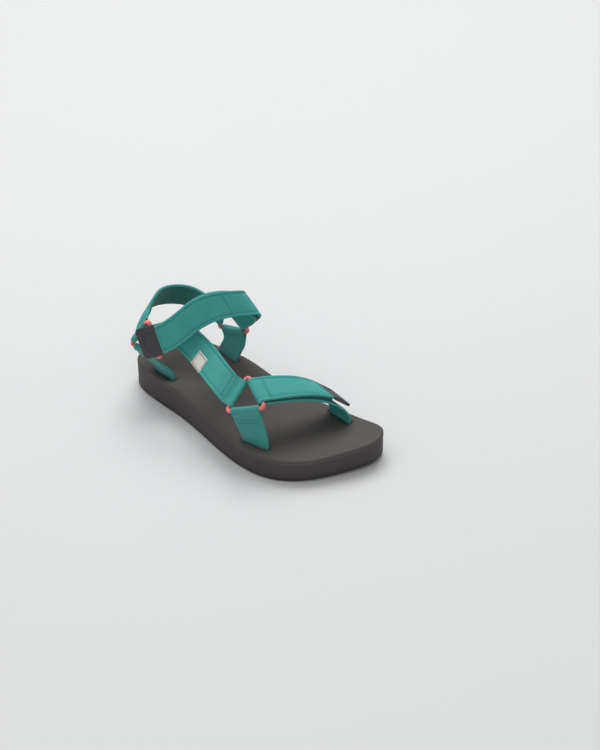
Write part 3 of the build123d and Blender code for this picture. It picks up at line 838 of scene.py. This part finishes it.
    def tab_rib(self, mesh: bmesh.types.BMesh, half: float, start: float, far: float, top: float) -> None:
        """Half-round rib in the shape of a U.

        Args:
            mesh: the flat tab, to which it is added.
            half: half the U's width.
            start: where its two legs start along the tab.
            far: where its bend lies.
            top: height of the tab's face.
        """
        corner, breadth, rise = 3.0 * MM, 1.1 * MM, 0.75 * MM
        turns = np.radians(np.linspace(180.0, 90.0, 9))
        leg = [(-half, y) for y in np.linspace(start, far - corner, 9)[:-1]]
        leg += [(corner * (1.0 + math.cos(t)) - half, far - corner * (1.0 - math.sin(t))) for t in turns]
        path = np.array(leg + [(-x, y) for x, y in leg[::-1]])
        way = unit(np.gradient(path, axis=0))
        run = np.concatenate([[0.0], np.cumsum(np.linalg.norm(np.diff(path, axis=0), axis=1))])
        taper = ease(run, 0.0, 2.0 * MM) * ease(run[-1] - run, 0.0, 2.0 * MM)
        rows, columns = len(path) - 1, 10
        band = bmesh.ops.create_grid(mesh, x_segments=columns, y_segments=rows, size=0.5)["verts"]
        for vert in band:
            k, side = round((vert.co.y + 0.5) * rows), 2.0 * vert.co.x
            height = rise * taper[k] * math.sqrt(max(0.0, 1.0 - side * side)) - 0.1 * MM
            x, y = path[k] + np.array([-way[k][1], way[k][0]]) * side * breadth
            vert.co = Vector((x, y, top + height))

    def tape(self, name: str, node: str, body: str, route: Route, span: tuple[float, float], low: float,
             finish: Finish) -> None:
        """Hook or loop tape on a strap."""
        strip = FlatStrip(TAPE, *span, low)
        place_on(strip.bent(name, route, finish), body, "hook_loop_tape", node)

    def build_toe_strap(self) -> None:
        """Toe strap: base, fold round the toe ring, flap, tapes and tab."""
        bar = self.toe.bar(Ring.front)
        crest, side = millimetres(46.0, -4.0, 63.5), millimetres(65.5, 27.0, 50.5)
        place, slot = TOE_STRAP_SLOT[0], TOE_STRAP_SLOT[1].normalized()
        stack = self.grip + PADDED.thickness / 2.0
        mouth = millimetres(*place, 24.5) + (-FACE_UP).cross(-slot) * stack
        route = Route([bar.middle, crest, side, mouth], bar.toward(crest), -FACE_UP, bar.along, -slot)
        tab_from = 0.86 * route.length - self.tab_length
        thick = PADDED.thickness
        base = FlatStrip(PADDED, 0.0, route.length + 6.0 * MM, -self.grip - thick)
        place_on(base.bent("toe_strap_lower", route, KNIT), "root", "webbing", "toe_strap_base")
        split = 7.0 * MM
        wrap = Wrap(stack, stack, MM, 0.0)
        fold = FlatStrip(PADDED, 0.0, wrap.turn + split, -thick / 2.0)
        piece = fold.bent("toe_strap_turn", route, KNIT, wrap.shape)
        self.join(piece, "toe_flap", route.point(0, 0, -stack), route.point(0, 0, stack), "webbing",
                  "toe_strap_fold")
        flap = FlatStrip(PADDED, split, tab_from + self.gap, self.grip)
        place_on(flap.bent("toe_flap_upper", route, KNIT), "toe_flap", "webbing", "toe_flap")
        seam = Seam(PADDED, self.grip + thick)
        seam.border(split + 1.5 * MM, tab_from - MM, (split + 1.5 * MM, tab_from - 2.0 * MM))
        place_on(seam.bent("toe_flap_stitching", route), "toe_flap", "webbing")
        span = (self.tape_start, tab_from)
        self.tape("toe_loop_pile", "toe_loop_tape", "root", route, span, -self.grip, LOOPS)
        hooks = self.grip - TAPE.thickness
        self.tape("toe_hook_strip", "toe_hook_tape", "toe_flap", route, span, hooks, HOOKS)
        self.pull_tab("toe_pull_tab", "toe_tab", "toe_flap", route, tab_from)

    def instep_route(self) -> Route:
        """Route from the inner ankle ring over the instep to the outer one."""
        fold, hold = self.medial.bar(Ring.front), self.lateral.bar(Ring.front)
        rise, crest = millimetres(-27.5, 37.5, 92.5), millimetres(-20.5, 29.5, 105.5)
        top, side = millimetres(-31.5, 15.0, 109.0), millimetres(-52.0, -3.0, 98.5)
        leave = hold.toward(side)
        over = hold.middle + leave.cross(hold.along) * (self.grip + PADDED.thickness / 2.0)
        points = [fold.middle, rise, crest, top, side, over + leave * self.loop, over - leave * 13.0 * MM]
        return Route(points, fold.toward(rise), -leave, -fold.along, -hold.along)

    def build_instep_strap(self) -> None:
        """Instep strap: base with its loop, fold, flap in two parts, tapes and tab."""
        route = self.instep_route()
        hinge = 0.36 * route.length
        thick, stack = PADDED.thickness, self.grip + PADDED.thickness / 2.0
        base_end = route.length - 24.0 * MM
        tab_from = route.length - self.tab_length
        base = FlatStrip(PADDED, 0.0, base_end + MM, -self.grip - thick)
        place_on(base.bent("instep_strap_lower", route, KNIT), "root", "webbing", "instep_strap_base")
        self.end_loop("instep_strap_loop", self.lateral.bar(Ring.front), millimetres(-52.0, -3.0, 98.5), None)
        wrap = Wrap(stack, stack, MM, 0.0)
        fold = FlatStrip(PADDED, 0.0, wrap.turn + 2.0 * MM, -thick / 2.0)
        place_on(fold.bent("instep_strap_turn", route, KNIT, wrap.shape), "root", "webbing",
                 "instep_strap_fold")
        reach = 5.0 * MM
        inner = FlatStrip(PADDED, 0.5 * MM, hinge - reach, self.grip)
        place_on(inner.bent("instep_flap_inner", route, KNIT), "root", "webbing", "instep_flap_root")
        crest = FlatStrip(PADDED, hinge - reach - MM, hinge + reach + MM, self.grip)
        ends = [route.point(0, hinge + s * reach, self.grip + thick) for s in (-1, 1)]
        self.join(crest.bent("instep_flap_crest", route, KNIT), "instep_flap", *ends, "webbing")
        flap = FlatStrip(PADDED, hinge + reach, tab_from + self.gap, self.grip)
        place_on(flap.bent("instep_flap_upper", route, KNIT), "instep_flap", "webbing", "instep_flap")
        low_seam = Seam(PADDED, self.grip + thick)
        low_seam.border(9.0 * MM, hinge - reach - MM, (9.0 * MM,))
        place_on(low_seam.bent("instep_flap_inner_stitching", route), "root", "webbing")
        seam = Seam(PADDED, self.grip + thick)
        seam.border(hinge + reach + MM, tab_from - MM, (hinge + reach + MM, tab_from - 2.0 * MM))
        place_on(seam.bent("instep_flap_stitching", route), "instep_flap", "webbing")
        self.tape("instep_loop_pile", "instep_loop_tape", "root", route, (self.tape_start, base_end),
                  -self.grip, LOOPS)
        self.tape("instep_hook_strip", "instep_hook_tape", "instep_flap", route,
                  (hinge + self.gap, base_end), self.grip - TAPE.thickness, HOOKS)
        self.pull_tab("instep_pull_tab", "instep_tab", "instep_flap", route, tab_from)

    def end_loop(self, name: str, bar: Bar, point: Vector, node: Optional[str], size: float = 11.0 * MM,
                 hinge: Optional[tuple[Vector, Vector]] = None) -> None:
        """End of a strap, split into two plies round a bar and sewn together.

        Args:
            name: the piece's name.
            bar: the bar.
            point: where the strap goes from there.
            node: the CAD node that it stands for.
            size: from the bar to the strap.
            hinge: start and end of its bend; when it is given, the piece goes to join instead of onto the
                root.
        """
        leave = bar.toward(point)
        route = Route([bar.middle, bar.middle + leave * size], leave, leave, bar.along, bar.along)
        half = PADDED.thickness / 4.0
        section = Section(thickness=2.0 * half, edge=0.3 * MM, roll=0.1 * MM, pinch=0.0, crown=0.0)
        wrap = Wrap(self.grip + half, half, size - 3.0 * MM, size)
        strip = FlatStrip(section, 0.0, 2.0 * size + wrap.turn, -half)
        piece = strip.bent(name, route, KNIT, wrap.shape)
        nodes = [node] if node else []
        if hinge:
            self.join(piece, "heel_strap", *hinge, "webbing", *nodes)
        else:
            place_on(piece, "root", "webbing", *nodes)

    def build_heel_strap(self) -> None:
        """Heel strap with its stitching, lining and two loops."""
        outer, inner = self.lateral.bar(Ring.rear), self.medial.bar(Ring.rear)
        back_points = ((-110.5, 0.0, 83.5), (-112.0, 19.0, 82.5), (-98.0, 35.5, 79.5))
        points = [millimetres(*point) for point in back_points]
        outer_leave, inner_leave = outer.toward(points[0]), inner.toward(points[-1])
        start, stop = outer.middle + outer_leave * self.loop, inner.middle + inner_leave * self.loop
        route = Route([start, *points, stop], outer_leave, -inner_leave, outer.along, inner.along)
        back = (inner.middle - outer.middle).cross(FACE_UP).normalized()
        if back.x > 0:
            back = -back
        hinge = (outer.middle + back * 3.0 * MM, outer.middle + back * 24.0 * MM)
        thick = PADDED.thickness
        strap = FlatStrip(PADDED, 0.0, route.length, -thick / 2.0)
        self.join(strap.bent("heel_strap_cover", route, KNIT), "heel_strap", *hinge, "webbing", "heel_strap")
        seam = Seam(PADDED, thick / 2.0)
        seam.border(2.0 * MM, route.length - 2.0 * MM, (2.0 * MM, route.length - 2.0 * MM))
        self.join(seam.bent("heel_strap_stitching", route), "heel_strap", *hinge, "webbing")
        lining = FlatStrip(TAPE, 0.03 * route.length, 0.97 * route.length, -thick / 2.0 - 0.8 * MM)
        self.join(lining.bent("heel_strap_inner_rib", route, LINING), "heel_strap", *hinge, "lining",
                  "heel_strap_lining")
        self.end_loop("heel_loop_outer", outer, points[0], "heel_loop_lateral", hinge=hinge)
        self.end_loop("heel_loop_inner", inner, points[-1], "heel_loop_medial", hinge=hinge)

    def build_vamp_strap(self) -> None:
        """Vamp strap from the toe ring to the underside of the instep strap, with its blank label."""
        bar = self.toe.bar(Ring.rear)
        aim, side = millimetres(-5.0, -43.0, 77.0), millimetres(-11.0, -28.5, 73.0)
        leave, loop = bar.toward(aim), 7.5 * MM
        instep = self.instep_route()
        at = 0.765 * instep.length
        under = instep.point(0, at, -self.grip - 1.5 * PADDED.thickness - 0.9 * MM)
        across = (instep.point(MM, at, 0) - instep.point(0, at, 0)).normalized()
        ahead = (instep.point(0, at + MM, 0) - instep.point(0, at - MM, 0))
        ahead = (ahead - across * ahead.dot(across)).normalized()
        skew = math.radians(28.0)
        tip = ahead * math.sin(skew) - across * math.cos(skew)
        face = ahead.cross(across)
        route = Route([bar.middle + leave * loop, side, under - tip * 17.0 * MM, under + tip * 7.0 * MM],
                      bar.aimed(leave, side), tip, bar.along, face.cross(tip))
        thick = PADDED.thickness
        strap = FlatStrip(PADDED, -0.5 * MM, route.length, -thick / 2.0)
        place_on(strap.bent("vamp_strap_cover", route, KNIT), "root", "webbing", "vamp_strap")
        seam = Seam(PADDED, thick / 2.0)
        seam.border(4.0 * MM, route.length - MM, (4.0 * MM,))
        place_on(seam.bent("vamp_strap_stitching", route), "root", "webbing")
        self.end_loop("vamp_strap_loop", bar, aim, None, loop)
        self.label(route, thick / 2.0)

    def label(self, route: Route, top: float) -> None:
        """Blank woven label over the vamp strap's outer edge, with a plain woven border."""
        width, start, stop = 14.0 * MM, 0.40 * route.length, 0.60 * route.length
        section = Section(width=width, thickness=0.5 * MM, edge=0.15 * MM, roll=0.0, pinch=0.0, crown=0.0)
        strip = FlatStrip(section, start, stop, top + 0.25 * MM)
        for face in strip.mesh.faces:
            middle = face.calc_center_median()
            edge = min(width / 2.0 - abs(middle.x), middle.y - start, stop - middle.y)
            face.material_index = 1 if 1.0 * MM < edge < 1.8 * MM else 0
        shift = (PADDED.width - width) / 2.0

        def wrapped(flat: np.ndarray) -> np.ndarray:
            """Move the label to the strap's edge and lay it over the hem."""
            out = flat.copy()
            out[:, 0] += shift
            out[:, 2] += PADDED.relief(np.minimum(out[:, 0], PADDED.width / 2.0 - 2.0 * MM))
            over = ease(out[:, 0], PADDED.width / 2.0 - 1.2 * MM, PADDED.width / 2.0)
            out[:, 2] -= over * 0.8 * MM
            return out

        piece = bent("vamp_label_blank", strip.mesh, route, [LABEL, LABEL_EDGE], wrapped)
        place_on(piece, "root", "label", "vamp_label")

    def build(self) -> None:
        """Everything above the sole."""
        for ring in (self.toe, self.lateral, self.medial):
            ring.build()
        self.build_anchors()
        self.build_toe_strap()
        self.build_instep_strap()
        self.build_heel_strap()
        self.build_vamp_strap()


def frame_middle() -> Vector:
    """Middle of the foot space, at the height of the rings."""
    return millimetres(-20.0, 5.0, 60.0)


# ---------------------------------------------------------------- sole
@dataclass
class Sole:
    """Footbed, midsole and outsole."""

    heel_top: float = 28.5
    ball_top: float = 22.6
    toe_rise: float = 3.2
    arch_rise: float = 8.5
    heel_cup: float = 1.8
    footbed: float = 5.0           # millimetres, as are the heights above
    outsole: float = 4.0
    toe_spring: float = 4.0
    points: int = 260
    rim: float = 2.0
    groove_pitch: float = 9.0
    groove_width: float = 2.4
    groove_depth: float = 1.8
    tread_border: float = 5.0      # the grooves stop this far inside the edge

    def outline(self) -> np.ndarray:
        """Closed outline of the sole seen from above, in millimetres."""
        heel = [(-125, 10), (-119, -12), (-95, -23), (-51, -29.5)]
        outer = [(-5, -41), (36, -49.5), (67, -46.5), (95, -27)]
        tip = [(115, 3), (124.6, 32), (118, 46.5), (100, 50)]
        inner = [(70, 47.5), (35, 42.5), (0, 39), (-35, 42), (-70, 46), (-100, 43), (-119, 31)]
        loop = np.array(heel + outer + tip + inner, float)
        wrapped = np.concatenate([loop[-4:], loop, loop[:5]])
        times = np.concatenate([[0.0], np.cumsum(np.linalg.norm(np.diff(wrapped, axis=0), axis=1))])
        ends = (wrapped[1] - wrapped[0]) / times[1], (wrapped[-1] - wrapped[-2]) / (times[-1] - times[-2])
        slopes = smooth_slopes(wrapped, times, *ends)
        at = np.linspace(times[4], times[4 + len(loop)], self.points, endpoint=False)
        return hermite(wrapped, times, slopes, at)

    def rim_height(self, x: np.ndarray) -> np.ndarray:
        """Height of the footbed's rim, in millimetres."""
        fall = (self.heel_top - self.ball_top) * ease(x, -45.0, 88.0)
        return self.heel_top - fall + self.toe_rise * ease(x, 88.0, 125.0)

    def surface(self, x: np.ndarray, y: np.ndarray) -> np.ndarray:
        """Height of the footbed, with its heel cup and arch, in millimetres."""
        cup = self.heel_cup * (1.0 - ease(x, -45.0, 88.0)) * np.exp(-((y - 6.0) / 24.0) ** 2)
        arch = self.arch_rise * np.exp(-(((x + 22.0) / 42.0) ** 2)) * ease(y, 8.0, 42.0)
        return self.rim_height(x) - cup + arch

    def ground(self, x: np.ndarray) -> np.ndarray:
        """Height of the underside, in millimetres."""
        reach = np.clip(np.asarray(x, float) - 62.0, 0.0, None) / (135.0 - 62.0)
        return self.toe_spring * reach ** 2

    def inset(self, amount: float) -> np.ndarray:
        """Outline moved inwards by an amount in millimetres."""
        line = self.outline()
        way = unit(np.roll(line, -1, axis=0) - np.roll(line, 1, axis=0))
        inward = np.stack([-way[:, 1], way[:, 0]], axis=1)
        return line + inward * amount

    def towards_spine(self, line: np.ndarray, share: float) -> np.ndarray:
        """Outline drawn in towards the sole's long middle line."""
        x = np.clip(line[:, 0], -88.0, 82.0)
        outline = self.outline()
        upper = outline[:, 1] > self.middle(outline[:, 0])
        halves = (outline[upper], outline[~upper])
        sides = [np.interp(x, *side[np.argsort(side[:, 0])].T) for side in halves]
        spine = np.stack([x, (sides[0] + sides[1]) / 2.0], axis=1)
        return line * (1.0 - share) + spine * share

    def middle(self, x: np.ndarray) -> np.ndarray:
        """Rough middle line, which tells the outline's two sides apart."""
        return np.interp(x, [-125.0, 0.0, 125.0], [10.0, 0.0, 33.0])

    def shell(self, levels: Sequence[tuple[np.ndarray, np.ndarray]]) -> bmesh.types.BMesh:
        """Closed shell from rings of points.

        Args:
            levels: outline and height of each ring, from the underside's middle to the top's.

        Returns:
            The mesh, in metres.
        """
        mesh = bmesh.new()
        bmesh.ops.create_circle(mesh, cap_ends=False, segments=self.points, radius=1.0)
        mesh.verts.ensure_lookup_table()
        ring = mesh.verts[:]
        edges = mesh.edges[:]
        first = list(edges)
        for step, (line, height) in enumerate(levels):
            if step:
                order = {v: k for k, v in enumerate(ring)}
                before = [tuple(v.co) for v in ring]
                grown = bmesh.ops.extrude_edge_only(mesh, edges=edges)["geom"]
                edges = made(grown, bmesh.types.BMEdge)
                at = {tuple(g.co): g for g in made(grown, bmesh.types.BMVert)}
                ring = [at[before[order[v]]] for v in ring]
            for vert, (x, y), z in zip(ring, line, height):
                vert.co = Vector((x, y, z)) * MM
        for rim in (first, edges):
            bmesh.ops.triangulate(mesh, faces=bmesh.ops.contextual_create(mesh, geom=rim)["faces"])
        bmesh.ops.recalc_face_normals(mesh, faces=mesh.faces[:])
        return mesh

    def layer(self, low: Callable, high: Callable, tuck: float, round_top: float,
              round_low: float) -> bmesh.types.BMesh:
        """Layer of the sole between two surfaces.

        Args:
            low: height of its underside from x and y.
            high: height of its top.
            tuck: how far its wall stands in from the outline, in millimetres.
            round_top: radius of its upper rim.
            round_low: radius of its lower rim.

        Returns:
            The mesh.
        """
        levels = []
        shares = (0.93, 0.8, 0.62, 0.42, 0.24, 0.1)
        for share in shares:
            line = self.towards_spine(self.inset(tuck + round_low), share)
            levels.append((line, low(line[:, 0], line[:, 1])))
        for radius, surface, sign in ((round_low, low, 1.0), (round_top, high, -1.0)):
            steps = 5
            angles = [math.pi / 2.0 * k / (steps - 1) for k in range(steps)]
            for angle in (angles if sign > 0 else angles[::-1]):
                line = self.inset(tuck + radius * (1.0 - math.sin(angle)))
                edge = self.inset(tuck + radius)
                height = surface(edge[:, 0], edge[:, 1]) + sign * radius * (1.0 - math.cos(angle))
                levels.append((line, height))
        for share in shares[::-1]:
            line = self.towards_spine(self.inset(tuck + round_top), share)
            levels.append((line, high(line[:, 0], line[:, 1])))
        return self.shell(levels)

    def cut(self, piece: bpy.types.Object, slots: Sequence[tuple[Vector, Vector]]) -> None:
        """Cut the webbing slots through a piece's top."""
        mesh = bmesh.new()
        for centre, along in slots:
            turn = Matrix.Rotation(math.atan2(along.y, along.x), 4, "Z")
            size = Matrix.Diagonal((28.2 * MM, 4.6 * MM, 7.0 * MM, 1.0))
            bmesh.ops.create_cube(mesh, size=1.0, matrix=Matrix.Translation(centre) @ turn @ size)
        upright = [e for e in mesh.edges if abs((e.verts[0].co - e.verts[1].co).normalized().z) > 0.9]
        bmesh.ops.bevel(mesh, geom=upright, offset=1.8 * MM, offset_type="OFFSET", segments=4, profile=0.5,
                        affect="EDGES", material=-1)
        self.carve(piece, mesh)

    def grooves(self, piece: bpy.types.Object) -> None:
        """Cut the tread's cross grooves, which stop inside its edge."""
        line = self.inset(self.tread_border)
        upper = line[:, 1] > self.middle(line[:, 0])
        sides = [side[np.argsort(side[:, 0])] for side in (line[upper], line[~upper])]
        mesh = bmesh.new()
        for step in range(-13, 14):
            x = self.groove_pitch * step
            if not line[:, 0].min() + 2.0 < x < line[:, 0].max() - 2.0:
                continue
            high, low = (float(np.interp(x, *side.T)) for side in sides)
            place = Matrix.Translation(millimetres(x, (high + low) / 2.0, float(self.ground(x))))
            size = Vector((self.groove_width, high - low, 2.0 * self.groove_depth)) * MM
            size = Matrix.Diagonal((*size, 1.0))
            bmesh.ops.create_cube(mesh, size=1.0, matrix=place @ size)
        self.carve(piece, mesh)

    def carve(self, piece: bpy.types.Object, mesh: bmesh.types.BMesh) -> None:
        """Cut a mesh out of a piece."""
        cutter = finished("cutter", mesh, [FOOTBED])
        trim = piece.modifiers.new("carve", "BOOLEAN")
        trim.object, trim.operation, trim.solver = cutter, "DIFFERENCE", "EXACT"
        bpy.context.view_layer.update()
        shaped = bpy.data.meshes.new_from_object(piece.evaluated_get(bpy.context.evaluated_depsgraph_get()))
        piece.modifiers.clear()
        piece.data = shaped
        bpy.data.objects.remove(cutter)

    def build(self) -> None:
        """All layers of the sole."""
        seam = (lambda x, y: self.rim_height(x) - self.footbed)
        top = self.layer(seam, self.surface, 0.0, self.rim, 0.3)
        footbed = finished("footbed_contoured", top, [FOOTBED])
        heights = ((TOE_SLOT, 25.6), (TOE_STRAP_SLOT, 23.5), (OUTER_SLOT, 28.5), (INNER_SLOT, 33.0))
        self.cut(footbed, [(millimetres(*place, height), along) for (place, along), height in heights])
        middle = self.layer(lambda x, y: self.ground(x) + self.outsole, seam, 0.15, 0.3, 0.3)
        midsole = finished("midsole_wall", middle, [MIDSOLE])
        for piece, node, slot in ((footbed, "footbed", "footbed_foam"), (midsole, "midsole", "midsole_foam")):
            place_on(piece, "root", slot, node)
        under = (lambda x, y: self.ground(x))
        over = (lambda x, y: self.ground(x) + self.outsole)
        tread = self.layer(under, over, 0.1, 0.3, 2.0)
        outsole = finished("outsole_grooved", tread, [OUTSOLE])
        self.grooves(outsole)
        place_on(outsole, "root", "outsole_rubber", "outsole")
        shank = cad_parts["shank"]
        shank.data.materials.clear()
        shank.data.materials.append(SHANK.material())
        LOG.info("shank: kept as it is, new finish")


# ---------------------------------------------------------------- studio
@dataclass
class Studio:
    """Pale floor, soft lights and the camera."""

    place: Vector = field(default_factory=lambda: millimetres(906.63, -1042.45, 1058.01))
    look: Vector = field(default_factory=lambda: millimetres(-9.8, 89.25, 0.0))
    lens: float = 93.32

    def build(self) -> None:
        """Floor, lights, world and camera."""
        mesh = bmesh.new()
        bmesh.ops.create_grid(mesh, x_segments=1, y_segments=1, size=3.0)
        floor = finished("studio_floor", mesh, [FLOOR])
        self.light("key_softbox", (-0.7, 1.0, 2.2), 1.5, 40.0)
        self.light("fill_softbox", (1.6, -1.6, 1.7), 2.4, 10.0)
        self.light("top_softbox", (-0.9, -0.6, 2.4), 2.0, 14.0)
        world = bpy.data.worlds.new("studio_air")
        bpy.context.scene.world = world
        world.use_nodes = True
        world.node_tree.nodes["Background"].inputs[0].default_value = paint("f4f5f7")
        world.node_tree.nodes["Background"].inputs[1].default_value = 0.4
        bpy.context.scene.view_settings.view_transform = "Standard"
        camera = bpy.data.objects.new("camera", bpy.data.cameras.new("camera"))
        bpy.context.scene.collection.objects.link(camera)
        camera.location = self.place
        camera.rotation_euler = (self.look - self.place).to_track_quat("-Z", "Y").to_euler()
        camera.data.lens, camera.data.sensor_width = self.lens, 36.0
        camera.data.clip_start, camera.data.clip_end = 0.01, 20.0
        bpy.context.scene.camera = camera

    def light(self, name: str, place: tuple[float, float, float], size: float, power: float) -> None:
        """One square soft light that faces the object."""
        lamp = bpy.data.lights.new(name, "AREA")
        lamp.size, lamp.energy = size, power
        stand = bpy.data.objects.new(name, lamp)
        bpy.context.scene.collection.objects.link(stand)
        stand.location = place
        stand.rotation_euler = (-Vector(place)).to_track_quat("-Z", "Y").to_euler()


def main() -> None:
    """Build the sandal and its studio."""
    logging.basicConfig(level=logging.INFO, format="%(message)s")
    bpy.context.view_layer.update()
    Studio().build()
    Sole().build()
    Straps().build()


if __name__ == "__main__":
    main()
